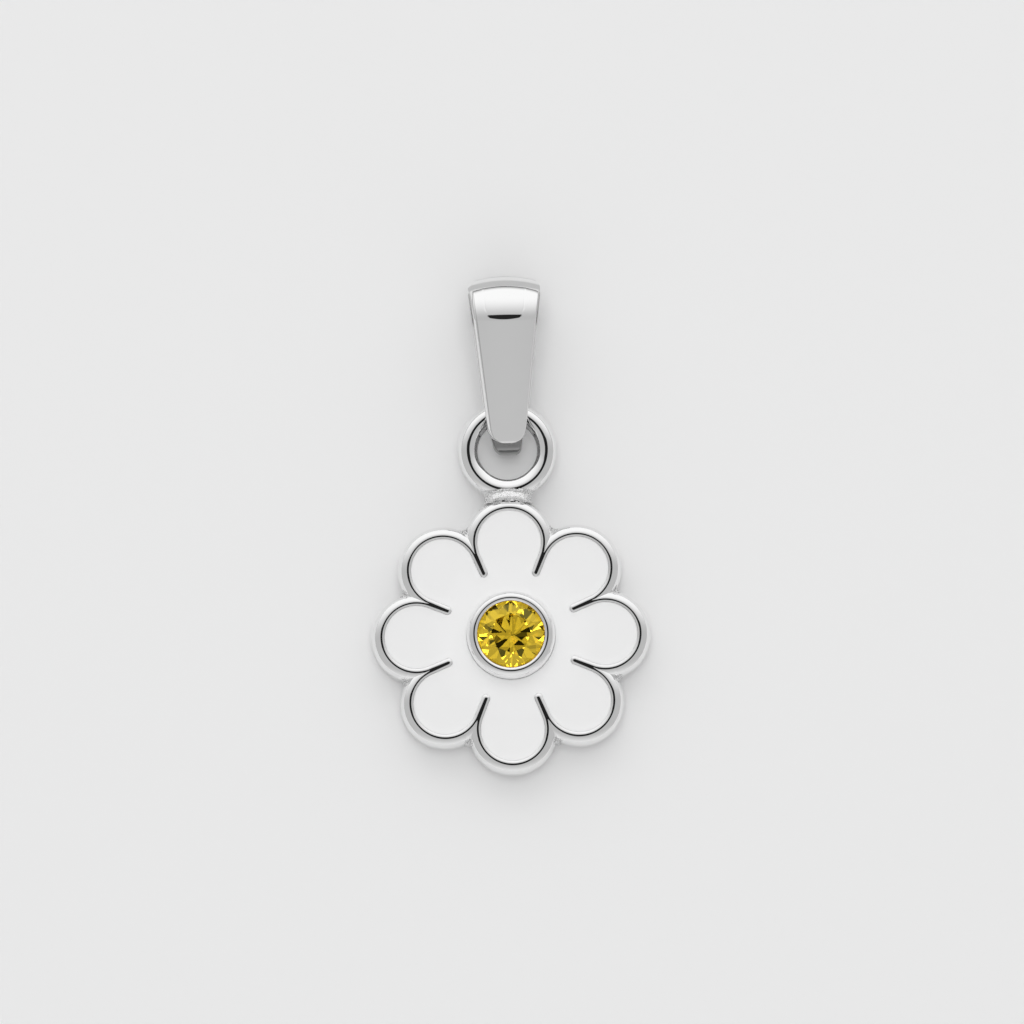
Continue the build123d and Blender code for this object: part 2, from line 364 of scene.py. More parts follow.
class LobeRays:
    """Half a petal's plan, cut by rays: where each ray meets the enamel, the crest and the outside."""

    def __init__(self, sizes, bezel):
        self.half_turn = math.pi / sizes.petals
        self.centre = sizes.lobe_centre_r
        self.close_r = self.centre * math.cos(self.half_turn)
        self.half_pitch = self.centre * math.sin(self.half_turn)
        self.crest_r = self.half_pitch - sizes.crest_gap / 2
        self.pocket_r = self.crest_r - sizes.ridge_in
        self.wall_r = self.crest_r + sizes.wall_out
        self.web_r = self.close_r + sizes.web_out
        self.tip_r = sizes.septum_tip_w / 2
        self.tip_centre = self.close_r - sizes.septum_l + self.tip_r
        self.bezel_r = bezel.base_d / 2
        reach = math.hypot(self.half_pitch, self.close_r - self.tip_centre)
        spread = math.acos((self.pocket_r + self.tip_r) / reach)
        self.lean = math.atan2(self.half_pitch, self.close_r - self.tip_centre) + spread
        self.last = math.pi / 2 + self.half_turn - (self.lean - math.pi / 2)
        self.stations = self.make_stations()

    def on_axis(self, along, side=0.0):
        """A point given along and beside the divider's axis, in the lobe's own axes."""
        cos, sin = math.cos(self.half_turn), math.sin(self.half_turn)
        return Vector((along * cos + side * sin, along * sin - side * cos))

    def on_ray(self, angle, distance):
        return Vector((self.centre + distance * math.cos(angle), distance * math.sin(angle)))

    def to_circle(self, angle, radius):
        """Distance along a lobe's ray to a circle round the flower's centre."""
        cos, sin = math.cos(angle), math.sin(angle)
        return -self.centre * cos + math.sqrt(radius * radius - (self.centre * sin) ** 2)

    def to_axis(self, angle):
        """Distance along a lobe's ray to the divider's axis."""
        return self.half_pitch / math.cos(angle - math.pi / 2 - self.half_turn)

    def crossing(self, gap, low, high):
        """The angle between two others at which a gap closes."""
        for _ in range(50):
            middle = (low + high) / 2
            if gap(low) * gap(middle) <= 0:
                high = middle
            else:
                low = middle
        return (low + high) / 2

    def make_stations(self):
        """Start, crest and end of each ray, its share round the bezel and whether it ends outside."""
        quarter = math.pi / 2
        on_lobe, on_web, past_web, on_side, round_tip = 20, 4, 14, 8, 7
        web_start = self.crossing(
            lambda a: self.to_circle(a, self.web_r) - self.wall_r, quarter / 2, quarter
        )
        web_end = self.crossing(
            lambda a: self.to_circle(a, self.web_r) - self.to_axis(a), web_start, quarter
        )
        angles = shares(on_lobe, 0.0, web_start)
        angles += shares(on_web, web_start, web_end)[1:]
        outside = len(angles)
        angles += shares(past_web, web_end, self.last)[1:]
        stations = []
        for k, angle in enumerate(angles):
            if angle <= web_start:
                end = self.wall_r
            elif k < outside:
                end = self.to_circle(angle, self.web_r)
            else:
                end = self.to_axis(angle)
            stations.append((
                self.on_ray(angle, self.pocket_r),
                self.on_ray(angle, self.crest_r),
                self.on_ray(angle, end),
                LOBE_SHARE * angle / self.last,
                k < outside,
            ))
        edge = self.half_pitch - self.crest_r
        tip_edge = 0.6 * edge
        lobe_along = self.close_r - self.pocket_r * math.cos(self.lean)
        lobe_side = self.half_pitch - self.pocket_r * math.sin(self.lean)
        tip_along = self.tip_centre + self.tip_r * math.cos(self.lean)
        tip_side = self.tip_r * math.sin(self.lean)
        first_end = self.close_r - self.half_pitch / math.tan(self.lean)
        for share in shares(on_side)[1:]:
            along = lobe_along + share * (tip_along - lobe_along)
            side = lobe_side + share * (tip_side - lobe_side)
            end = first_end + share * (self.tip_centre - first_end)
            offset = edge + share * (tip_edge - edge)
            start = self.on_axis(along, side)
            stop = self.on_axis(end)
            crest = stop + (start - stop) * (offset / side)
            stations.append((start, crest, stop, LOBE_SHARE + SIDE_SHARE * share, False))
        centre = self.on_axis(self.tip_centre)
        for share in shares(round_tip)[1:]:
            angle = self.lean + share * (math.pi - self.lean)
            start = self.on_axis(
                self.tip_centre + self.tip_r * math.cos(angle), self.tip_r * math.sin(angle)
            )
            crest = centre + (start - centre) * (tip_edge / self.tip_r)
            round_bezel = LOBE_SHARE + SIDE_SHARE + TIP_SHARE * share
            stations.append((start, crest, centre, round_bezel, False))
        return stations

    def along_axis(self, point):
        """How far out a point is along the divider's axis."""
        return point.x * math.cos(self.half_turn) + point.y * math.sin(self.half_turn)

    def on_bezel(self, share, radius):
        angle = share * self.half_turn
        return Vector((radius * math.cos(angle), radius * math.sin(angle)))


def slope_curve(slopes, steps):
    """How far a shape one wide has dropped after each step, from its slopes."""
    drops = [0.0]
    for k in range(steps):
        share = (k + 0.5) / steps
        for (near, low), (far, high) in zip(slopes, slopes[1:]):
            if near <= share < far:
                slope = low + (high - low) * (share - near) / (far - near)
        drops.append(drops[-1] + math.tan(math.radians(slope)) / steps)
    return drops


WALL_CURVE = slope_curve(WALL_SLOPES, 400)
WIRE_CURVE = slope_curve(WIRE_SLOPES, 400)


def curve_drop(curve, distance, width):
    """How far a shape of a given width has dropped at a distance from its crest."""
    step = min(1.0, max(0.0, distance / width)) * (len(curve) - 1)
    below = min(int(step), len(curve) - 2)
    share = step - below
    return width * (curve[below] * (1 - share) + curve[below + 1] * share)


def wall_drop(distance, width):
    """How far the ridge's outside has dropped: a round crest, a flatter roll and a wall with the
    mould's draft."""
    return curve_drop(WALL_CURVE, distance, width)


def web_height(rays, sizes, along):
    """Height of the web between two lobes, a distance out along the divider's axis."""
    out = along - rays.close_r
    start = 0.02 * MM
    fall = (sizes.web_drop - start) * smooth(out, 0.10 * MM, 1.10 * MM)
    return sizes.rim_h - start - fall - 3 * max(0.0, out - sizes.web_out - 0.01 * MM)


def metal_height(rays, sizes, point, station):
    """Height of the ridge's surface over a point of a ray."""
    _, crest, end, _, _ = station
    offset = (point - crest).length
    if (point - end).length > (crest - end).length:
        inner_r = (sizes.ridge_in ** 2 + sizes.crest_drop ** 2) / (2 * sizes.crest_drop)
        return sizes.rim_h - arc_drop(offset, inner_r)
    along = rays.along_axis(point)
    out = smooth(along - rays.close_r, -0.15 * MM, 0.35 * MM)
    height = sizes.rim_h - out * wall_drop(offset, sizes.wall_out)
    if along > rays.close_r + 0.05 * MM:
        height = rounded_max(height, web_height(rays, sizes, along), 0.03 * MM)
    return height


def bezel_section(sizes, bezel):
    """Half section of the bezel and the cup, from the pocket's floor over the crest to the middle."""
    foot, crest, lip, cup = bezel.base_d / 2, bezel.crest_d / 2, bezel.lip_d / 2, bezel.cup_d / 2
    top, clear, floor_round = bezel.crest_h, 0.01 * MM, 0.05 * MM
    points = [(foot, sizes.plate_t), (foot, top - bezel.shoulder - 0.08 * MM)]
    for share in shares(22):
        out = math.cos(share * math.pi / 2)
        points.append((crest + (foot - crest) * out, top - arc_drop(out, 1.0) * bezel.shoulder))
    lip_drop = 0.07 * MM
    for share in shares(9)[1:]:
        points.append((crest + (lip - crest) * share, top - lip_drop * share ** 2))
    under = top - bezel.lip_t
    groove = under - (cup - lip)
    seat = cup - bezel.seat_w
    return points + [
        (lip - clear, top - lip_drop - 2 * clear),
        (lip - clear, under + clear),
        (lip, under),
        (cup, groove),
        (cup, groove - bezel.girdle_t),
        (seat, groove - bezel.girdle_t - 0.86 * bezel.seat_w),
        (seat, bezel.cup_floor + floor_round),
        (seat - floor_round, bezel.cup_floor),
        (0.5 * cup, bezel.cup_floor),
        (0.0, bezel.cup_floor),
    ]


def grid_faces(columns, rows, width):
    """Faces of a grid kept column after column."""
    return [
        (c * width + r, (c + 1) * width + r, (c + 1) * width + r + 1, c * width + r + 1)
        for c in range(columns)
        for r in range(rows)
    ]


def sheet_of(half):
    """Points and faces of one petal's share of a surface, from the columns of its half, turned so
    that X runs across the petal and Y along it."""
    columns = [[Vector((-p.y, p.x, p.z)) for p in column] for column in reversed(half[1:])]
    columns += [[Vector((p.y, p.x, p.z)) for p in column] for column in half]
    width = len(columns[0])
    return [p for column in columns for p in column], grid_faces(len(columns) - 1, width - 1, width)


def petal_share(rays, sizes, bezel):
    """One petal's share of the casting: ridge, wall, back, pocket, bezel and cup."""
    section = bezel_section(sizes, bezel)
    middle = Vector((rays.centre, 0))
    tops, walls = [], []
    for station in rays.stations:
        start, crest, end, share, outside = station
        column = [raised(rays.on_bezel(share, radius), height) for radius, height in reversed(section)]
        column += [raised(start, sizes.plate_t), raised(start, sizes.rim_h - sizes.enamel_drop)]
        power = 0.85 if outside else 1
        line = [start + (crest - start) * part for part in shares(7)]
        line += [crest + (end - crest) * part ** power for part in shares(18)[1:]]
        column += [raised(point, metal_height(rays, sizes, point, station)) for point in line]
        tops.append(column)
        if outside:
            on_web = (end - middle).length > rays.wall_r * 1.0001
            inward = -end.normalized() if on_web else (middle - end).normalized()
            base = end + inward * sizes.back_break
            high, low = column[-1].z, sizes.back_break
            wall = [raised(end, high + (low - high) * part) for part in shares(4)]
            walls.append(wall + [raised(base, 0), raised(base / 2, 0), Vector((0, 0, 0))])
    return joined(sheet_of(tops), sheet_of(walls))


def enamel_share(rays, sizes):
    """One petal's share of the enamel's edges: a soft meniscus at the ridge and at the bezel."""
    top = sizes.rim_h - sizes.enamel_drop
    clear, edge_drop, edge_w = 0.006 * MM, 0.018 * MM, 0.05 * MM
    outer, inner = [], []
    for start, crest, _, share, _ in rays.stations:
        outward = (crest - start).normalized()
        foot = rays.on_bezel(share, rays.bezel_r)
        away = foot.normalized()
        for column, spot, way, reach in (
            (outer, start - outward * clear, -outward, 0.46 * MM),
            (inner, foot + away * clear, away, 0.30 * MM),
        ):
            points = [raised(spot, sizes.plate_t)]
            for step in MENISCUS:
                edge = edge_drop * max(0.0, 1 - step * reach / edge_w) ** 2
                sag = sizes.enamel_sag * (1 - (1 - step) ** 2)
                points.append(raised(spot + way * step * reach, top - edge - sag))
            column.append(points)
    return joined(sheet_of(outer), sheet_of(inner))


def fill_flats(piece):
    """Closes the enamel's open rims with flat faces, one above and one below."""
    bm = bmesh.new()
    bm.from_mesh(piece.data)
    open_edges = [edge for edge in bm.edges if edge.is_boundary]
    middle = sum(edge.verts[0].co.z for edge in open_edges) / len(open_edges)
    for upper in (True, False):
        edges = [edge for edge in open_edges if (edge.verts[0].co.z > middle) == upper]
        bmesh.ops.triangle_fill(bm, edges=edges, use_beauty=True, normal=(0, 0, 1 if upper else -1))
    bm.to_mesh(piece.data)
    bm.free()


def round_tree():
    """Geometry Nodes that set copies of one petal's share round the flower and close the seams."""
    tree = bpy.data.node_groups.new("petals_round", "GeometryNodeTree")
    tree.is_modifier = True
    face = tree.interface
    face.new_socket("Petal", in_out="INPUT", socket_type="NodeSocketGeometry")
    count = face.new_socket("Petals", in_out="INPUT", socket_type="NodeSocketInt")
    seam = face.new_socket("Seam", in_out="INPUT", socket_type="NodeSocketFloat")
    finish = face.new_socket("Finish", in_out="INPUT", socket_type="NodeSocketMaterial")
    face.new_socket("Flower", in_out="OUTPUT", socket_type="NodeSocketGeometry")
    given = node(tree, "NodeGroupInput").outputs
    line = node(tree, "GeometryNodeMeshLine", {"Count": given["Petals"], "Offset": (0, 0, 0)})
    number = node(tree, "GeometryNodeInputIndex")
    step = node(tree, "ShaderNodeMath", {0: 2 * math.pi, 1: given["Petals"]}, operation="DIVIDE")
    angle = node(tree, "ShaderNodeMath", {0: number, 1: step}, operation="MULTIPLY")
    spin = node(tree, "ShaderNodeCombineXYZ", {"Z": angle})
    turn = node(tree, "FunctionNodeEulerToRotation", {"Euler": spin})
    copied = {"Points": line, "Instance": given["Petal"], "Rotation": turn}
    copies = node(tree, "GeometryNodeInstanceOnPoints", copied)
    real = node(tree, "GeometryNodeRealizeInstances", {"Geometry": copies})
    closed = node(tree, "GeometryNodeMergeByDistance", {"Geometry": real, "Distance": given["Seam"]})
    coated = node(tree, "GeometryNodeSetMaterial", {"Geometry": closed, "Material": given["Finish"]})
    node(tree, "NodeGroupOutput", {"Flower": coated})
    return tree, count.identifier, seam.identifier, finish.identifier


def set_round(piece, petals, material):
    """Repeats one petal's share round the flower and leaves a plain closed mesh."""
    tree, count, seam, finish = round_tree()
    repeat = piece.modifiers.new("petals", "NODES")
    repeat.node_group = tree
    repeat[count] = petals
    repeat[seam] = SEAM
    repeat[finish] = material
    bake(piece)
    bpy.data.node_groups.remove(tree)


class RingAndNeck:
    """The cast ring, and the rough neck that joins it to the top lobe."""

    def __init__(self, rays, sizes, ring):
        self.rays, self.sizes, self.ring = rays, sizes, ring
        self.centre = rays.centre + rays.crest_r + ring.neck_l + ring.mean_r
        self.low = self.centre - ring.mean_r
        self.wire_r = ring.wire_d / 2
        self.crown = ring.height + self.wire_r
        self.middle = ring.height - 0.08 * MM
        self.narrowest = (rays.centre + rays.wall_r + self.low - self.wire_r) / 2

    def wire_solid(self):
        """The ring's wire, closed, a little flatter inside where the neck joins it."""
        around, across = 128, 64
        verts = []
        for turn in shares(around, 0.0, 2 * math.pi)[:-1]:
            beside_neck = smooth(-math.sin(turn), 0.1, 0.7)
            for angle in shares(across, 0.0, 2 * math.pi)[:-1]:
                out = self.ring.mean_r + self.wire_r * math.cos(angle)
                rise = self.wire_r * math.sin(angle)
                if math.pi / 2 < angle < math.pi:
                    from_crest = -self.wire_r * math.cos(angle)
                    flat = self.wire_r - curve_drop(WIRE_CURVE, from_crest, self.wire_r)
                    rise += (flat - rise) * beside_neck
                x, y = out * math.cos(turn), self.centre + out * math.sin(turn)
                verts.append((x, y, self.ring.height + rise))
        piece = new_piece("ring", verts, loop_faces(around, across))
        finish_mesh(piece, 180)
        return piece

    def half_width(self, y):
        """Half the neck's width: narrowest in the middle, flared into the lobe and into the ring."""
        flare = 1.15 / MM * (y - self.narrowest) ** 2
        return self.ring.neck_w / 2 + min(flare, 0.17 * MM)

    def onto_ring(self, x):
        """How far up the rough metal reaches onto the ring."""
        beside = smooth(abs(x - 0.1 * MM), 0.42 * MM, 0.62 * MM)
        return self.low - 0.015 * MM - 0.08 * MM * beside

    def past_lobe(self, x, y):
        """How far a point is outside the top lobe's crest."""
        return math.hypot(x, y - self.rays.centre) - self.rays.crest_r

    def from_wire(self, x, y):
        """How far a point is beside the middle of the ring's wire, at most the wire's radius."""
        return min(abs(math.hypot(x, y - self.centre) - self.ring.mean_r), self.wire_r)

    def top(self, x, y, side):
        """Height of the rough top, which runs up onto the lobe's ridge and the ring."""
        rim_h = self.sizes.rim_h
        past, from_wire, onto_ring = self.past_lobe(x, y), self.from_wire(x, y), self.onto_ring(x)
        slope = 0.27 * (self.ring.neck_l - 0.01 * MM - past)
        foot = 2 * max(0.0, 0.44 * MM - past)
        shoulder = 0.22 * MM * smooth(abs(x), 0.66 * MM, 0.94 * MM)
        lump = 0.008 * MM + 0.3 * MM * smooth(abs(x - 0.1 * MM), 0.38 * MM, 0.56 * MM)
        top = max(self.crown + slope - foot - shoulder, self.crown - lump)
        top -= 1.5 * max(0.0, y - onto_ring)
        fill = rounded_max(top, rim_h - 0.11 * MM, 0.03 * MM)
        fill = self.middle + (fill - self.middle) * side
        rim = rim_h - wall_drop(past, self.sizes.wall_out)
        rim -= 0.05 * MM * (1 - smooth(past, 0.27 * MM, 0.33 * MM))
        wire = self.crown - arc_drop(from_wire, self.wire_r)
        wire -= 0.04 * MM * smooth(y, onto_ring, onto_ring + 0.05 * MM)
        wire -= 0.0015 * MM * (1 - smooth(from_wire, 0.05 * MM, 0.14 * MM))
        coarse, fine = 0.11 * MM, 0.055 * MM
        ripple = 0.6 * noise.noise(Vector((x, y, 0)) / coarse)
        ripple += 0.5 * noise.noise(Vector((x, y, 5 * MM)) / fine)
        ridge = band(past, 0.40 * MM, 0.45 * MM, 0.62 * MM, 0.74 * MM)
        ridge *= 1 - smooth(abs(x), 0.66 * MM, 0.86 * MM)
        height = rounded_max(rounded_max(fill, rim, 0.05 * MM), wire, 0.006 * MM)
        return height + (0.018 - 0.011 * ridge) * MM * ripple * side

    def neck_solid(self):
        """The neck, filleted into the lobe and the ring."""
        across, along = 90, 56
        low = self.rays.centre + self.rays.crest_r + 0.20 * MM
        tops, bottoms = [], []
        for y in shares(along, low, self.low + 0.14 * MM):
            half_w = self.half_width(y)
            for lean in shares(across, -math.pi / 2, math.pi / 2):
                x = half_w * math.sin(lean)
                side = math.sqrt(max(0.0, 1 - abs(math.sin(lean)) ** 5))
                tops.append(Vector((x, y, self.top(x, y, side))))
                bottoms.append(Vector((x, y, self.middle - self.ring.neck_t / 2 * side)))
        width = across + 1
        faces = grid_faces(along, across, width)
        verts, faces = joined((tops, faces), (bottoms, [face[::-1] for face in faces]))
        rim = list(range(width))
        rim += [r * width + across for r in range(1, along + 1)]
        rim += [along * width + k for k in range(across - 1, -1, -1)]
        rim += [r * width for r in range(along - 1, 0, -1)]
        for a, b in zip(rim, rim[1:] + rim[:1]):
            faces.append((a, b, b + len(tops), a + len(tops)))
        piece = new_piece("neck", verts, faces)
        finish_mesh(piece, 60)
        return piece

    def roughness(self, x, y, z):
        """How rough a point of the casting was left as part of the neck, from 0 to 1."""
        from_wire = self.from_wire(x, y)
        crest = self.crown - arc_drop(from_wire, self.wire_r) + 0.0008 * MM
        if from_wire < 0.13 * MM and z < crest:
            return 0.0
        rays, past = self.rays, self.past_lobe(x, y)
        onto_ring, wide = self.onto_ring(x), self.half_width(y)
        neck = smooth(past, 0.31 * MM, 0.35 * MM) * smooth(y, rays.centre, rays.centre + rays.crest_r)
        neck *= 1 - smooth(y, onto_ring, onto_ring + 0.05 * MM)
        neck *= 1 - smooth(abs(x), wide + 0.02 * MM, wide + 0.14 * MM)
        ridge = band(past, 0.34 * MM, 0.43 * MM, 0.66 * MM, 0.72 * MM)
        return neck * (1 - 0.7 * ridge * (1 - smooth(abs(x), 0.70 * MM, 0.88 * MM)))

    def hole_shade(self, x, y, z):
        """Painted shade inside the ring's hole, darkening and dulling the silver there, from 0 to 1."""
        if y <= self.low or z <= self.ring.height - 0.04 * MM:
            return 0.0
        mean_r = self.ring.mean_r
        from_middle = math.hypot(x, y - self.centre)
        # Painted shade along the inner edge of the ring's hole
        return 0.65 * (1 - smooth(from_middle, mean_r - 0.41 * MM, mean_r - 0.37 * MM))


def web_roughness(rays, sizes, x, y):
    """How rough a point of the casting was left as part of a web, from 0 to 1."""
    turn = 2 * rays.half_turn
    angle = (math.atan2(x, y) - rays.half_turn) % turn
    angle = min(angle, turn - angle)
    reach = math.hypot(x, y)
    beside, along = reach * math.sin(angle), reach * math.cos(angle)
    out = along - rays.close_r
    from_crest = math.hypot(out, rays.half_pitch - beside) - rays.crest_r
    roll = sizes.rim_h - wall_drop(from_crest, sizes.wall_out)
    web = smooth(web_height(rays, sizes, along) - roll, -0.012 * MM, 0.006 * MM)
    web *= smooth(out, 0.02 * MM, 0.16 * MM)
    return web * (1 - smooth(beside, 0.10 * MM + 0.22 * out, 0.22 * MM + 0.25 * out))


def mark_casting(piece, neck):
    """Marks how rough the casting was left in the corners that polishing doesn't reach, and the
    painted shade inside the ring's hole."""
    rough, dull_shade = [], []
    for vert in piece.data.vertices:
        x, y, z = vert.co
        web = web_roughness(neck.rays, neck.sizes, x, y) if z > 0.05 * MM else 0.0
        rough.append(max(web, neck.roughness(x, y, z)))
        dull_shade.append(neck.hole_shade(x, y, z))
    mark(piece, rough, dull_shade)


def plated_silver(colours):
    """Rhodium-plated silver, cast and then polished: bright and sharp, with slight waves left by
    the buff, and grainy where the buff doesn't reach. Marked places are darkened and blurred
    towards dull silver as painted shade and painted dark reflections."""
    # Real sizes of one wave of the buff and of one grain of the casting
    wave_w, grain_w = 0.9 * MM, 0.05 * MM
    material = bpy.data.materials.new("plated_silver")
    tree = empty_tree(material)
    place = node(tree, "ShaderNodeTexCoord").outputs["Object"]
    cast = node(tree, "ShaderNodeAttribute", attribute_name="as_cast").outputs["Fac"]
    dull_shade = node(tree, "ShaderNodeAttribute", attribute_name="shade_and_dull").outputs["Fac"]
    waves = node(tree, "ShaderNodeTexNoise", {"Vector": place, "Scale": 1 / wave_w, "Detail": 1.0})
    buffed = node(tree, "ShaderNodeBump", {"Height": waves, "Distance": 0.0025 * MM, "Strength": 1.0})
    grain = node(
        tree,
        "ShaderNodeTexNoise",
        {"Vector": place, "Scale": 1 / grain_w, "Detail": 2.0, "Roughness": 0.6},
    )
    grit = node(tree, "ShaderNodeMath", {0: grain, 1: cast}, operation="MULTIPLY")
    grainy = node(
        tree,
        "ShaderNodeBump",
        {"Height": grit, "Distance": 0.035 * MM, "Strength": 1.0, "Normal": buffed},
    )
    pits = node(
        tree,
        "ShaderNodeMapRange",
        {"Value": grain, "From Min": 0.38, "From Max": 0.47, "To Min": 0.85, "To Max": 0.0},
    )
    pitted = node(tree, "ShaderNodeMath", {0: pits, 1: cast}, operation="MULTIPLY")
    # Painted shade: the marked dark places in the ring's hole and on the bail darken the silver, beside
    # the real dark pits of the cast grain
    darker = node(tree, "ShaderNodeMath", {0: pitted, 1: dull_shade}, operation="MAXIMUM")
    tone = node(
        tree,
        "ShaderNodeMix",
        {"Factor": darker, "A": (*colours.silver, 1), "B": (*colours.dull_shaded_silver, 1)},
        data_type="RGBA",
    )
    half_dull_shade = node(tree, "ShaderNodeMath", {0: dull_shade, 1: 0.6}, operation="MULTIPLY")
    softer = node(tree, "ShaderNodeMath", {0: cast, 1: half_dull_shade}, operation="MAXIMUM")
    gloss = node(tree, "ShaderNodeMapRange", {"Value": softer, "To Min": 0.03, "To Max": 0.34})
    shader = node(
        tree,
        "ShaderNodeBsdfPrincipled",
        {"Base Color": tone.outputs["Result"], "Metallic": 1.0, "Roughness": gloss, "Normal": grainy},
    )
    node(tree, "ShaderNodeOutputMaterial", {"Surface": shader})
    return material


def white_enamel(colours):
    """Enamel, laid wet and polished: a smooth white gloss with faint waves and a few pinholes. Round the
    bezel it is painted paler, as painted light thrown from the bezel's wall.
    """
    # Real sizes of one cloud and of the field round one pinhole
    cloud_w, cell_w = 1.5 * MM, 0.9 * MM
    # From the flower's centre to where the painted light round the bezel is full and to where it has
    # faded out
    light_full_r, light_end_r = 2.1 * MM, 3.7 * MM
    material = bpy.data.materials.new("white_enamel")
    tree = empty_tree(material)
    place = node(tree, "ShaderNodeTexCoord").outputs["Object"]
    clouds = node(tree, "ShaderNodeTexNoise", {"Vector": place, "Scale": 1 / cloud_w, "Detail": 2.0})
    cells = node(tree, "ShaderNodeTexVoronoi", {"Vector": place, "Scale": 1 / cell_w}).outputs
    chance = node(tree, "ShaderNodeSeparateColor", {"Color": cells["Color"]})
    rare = node(tree, "ShaderNodeMath", {0: chance, 1: 0.80}, operation="GREATER_THAN")
    near = node(
        tree,
        "ShaderNodeMapRange",
        {"Value": cells["Distance"], "From Min": 0.02, "From Max": 0.05, "To Min": 1.0, "To Max": 0.0},
    )
    speck = node(tree, "ShaderNodeMath", {0: rare, 1: near}, operation="MULTIPLY")
    flat = node(tree, "ShaderNodeVectorMath", {0: place, 1: (1, 1, 0)}, operation="MULTIPLY")
    reach = node(tree, "ShaderNodeVectorMath", {0: flat}, operation="LENGTH").outputs["Value"]
    # Painted light: the enamel turns paler towards the bezel, standing in for light that the bezel's
    # polished wall throws onto it; the random clouds are added on top
    deep = node(
        tree,
        "ShaderNodeMapRange",
        {"Value": reach, "From Min": light_full_r, "From Max": light_end_r, "To Min": 1.0, "To Max": 0.0},
    )
    mottle = node(
        tree,
        "ShaderNodeMapRange",
        {"Value": clouds, "From Min": 0.3, "From Max": 0.7, "To Min": -0.08, "To Max": 0.08},
    )
    uneven = node(tree, "ShaderNodeMath", {0: deep, 1: mottle}, operation="ADD")
    base = node(
        tree,
        "ShaderNodeMix",
        {"Factor": uneven, "A": (*colours.enamel, 1), "B": (*colours.enamel_bezel_light, 1)},
        data_type="RGBA",
    )
    faint = node(tree, "ShaderNodeMath", {0: speck, 1: 0.25}, operation="MULTIPLY")
    tint = node(
        tree,
        "ShaderNodeMix",
        {"Factor": faint, "A": base.outputs["Result"], "B": (0.35, 0.35, 0.35, 1)},
        data_type="RGBA",
    )
    waves = node(tree, "ShaderNodeBump", {"Height": clouds, "Distance": 0.004 * MM, "Strength": 1.0})
    shader = node(
        tree,
        "ShaderNodeBsdfPrincipled",
        {"Base Color": tint.outputs["Result"], "Roughness": 0.16, "IOR": 1.5, "Normal": waves},
    )
    node(tree, "ShaderNodeOutputMaterial", {"Surface": shader})
    return material


def yellow_zirconia(colours):
    """Cubic zirconia, cut and polished: clear, strongly refracting and deep yellow."""
    material = bpy.data.materials.new("yellow_zirconia")
    tree = empty_tree(material)
    shader = node(
        tree,
        "ShaderNodeBsdfPrincipled",
        {
            "Base Color": (*colours.stone, 1),
            "Roughness": 0.0,
            "IOR": 2.15,
            "Specular Tint": (1.0, 0.84, 0.16, 1),
            "Transmission Weight": 1.0,
        },
    )
    node(tree, "ShaderNodeOutputMaterial", {"Surface": shader})
    return material


def pale_floor(colours):
    """A plain pale floor."""
    material = bpy.data.materials.new("pale_floor")
    tree = empty_tree(material)
    shader = node(
        tree,
        "ShaderNodeBsdfPrincipled",
        {"Base Color": (*colours.floor, 1), "Roughness": 0.6, "Specular IOR Level": 0.3},
    )
    node(tree, "ShaderNodeOutputMaterial", {"Surface": shader})
    return material


def cut_stone(sizes, top):
    """A round brilliant, ground facet by facet from a disc, with its table at the given height."""
    half = sizes.across / 2
    girdle_top = top - (half - sizes.table_d / 2) * math.tan(sizes.crown_angle)
    girdle_bottom = girdle_top - sizes.girdle_t
    culet = girdle_bottom - half * math.tan(sizes.pavilion_angle)
    eighth = math.pi / 4
    chord = half * math.cos(eighth / 4)
    table_flat = sizes.table_d / 2 * math.cos(eighth / 2)
    hand = random.Random(2)
    facets = []
    for k in range(8):
        turn = k * eighth
        facets.append((turn, sizes.crown_angle, half, girdle_top, 1))
        facets.append((turn + eighth / 2, sizes.star_angle, table_flat, top, 1))
        facets.append((turn, sizes.pavilion_angle, half, girdle_bottom, -1))
        for side in (-1, 1):
            beside = turn + side * eighth / 4
            facets.append((beside, sizes.upper_angle, chord, girdle_top, 1))
            facets.append((beside, sizes.lower_angle, chord, girdle_bottom, -1))
    bm = bmesh.new()
    disc = bmesh.ops.create_cone(
        bm, cap_ends=True, segments=96, radius1=half / MM, radius2=half / MM, depth=(top - culet) / MM
    )
    bmesh.ops.translate(bm, verts=disc["verts"], vec=(0, 0, (top + culet) / 2 / MM))
    for turn, tilt, out, height, way in facets:
        if way < 0:
            turn += hand.uniform(-1, 1) * 1.5 * sizes.scatter
            tilt += hand.uniform(-1, 1) * sizes.scatter
        slope = math.sin(tilt)
        normal = Vector((slope * math.cos(turn), slope * math.sin(turn), way * math.cos(tilt)))
        point = Vector((out * math.cos(turn), out * math.sin(turn), height)) / MM
        cut = bmesh.ops.bisect_plane(
            bm, geom=[*bm.verts, *bm.edges, *bm.faces], dist=1e-5, plane_co=point, plane_no=normal,
            clear_outer=True,
        )
        rim = [part for part in cut["geom_cut"] if isinstance(part, bmesh.types.BMEdge)]
        if rim:
            bmesh.ops.contextual_create(bm, geom=rim)
    bmesh.ops.scale(bm, vec=(MM, MM, MM), verts=bm.verts)
    bmesh.ops.recalc_face_normals(bm, faces=bm.faces)
    stone = new_piece("cut_stone", [], [])
    bm.to_mesh(stone.data)
    bm.free()
    return stone


def coat(piece, material):
    """Gives a piece one material."""
    piece.data.materials.clear()
    piece.data.materials.append(material)


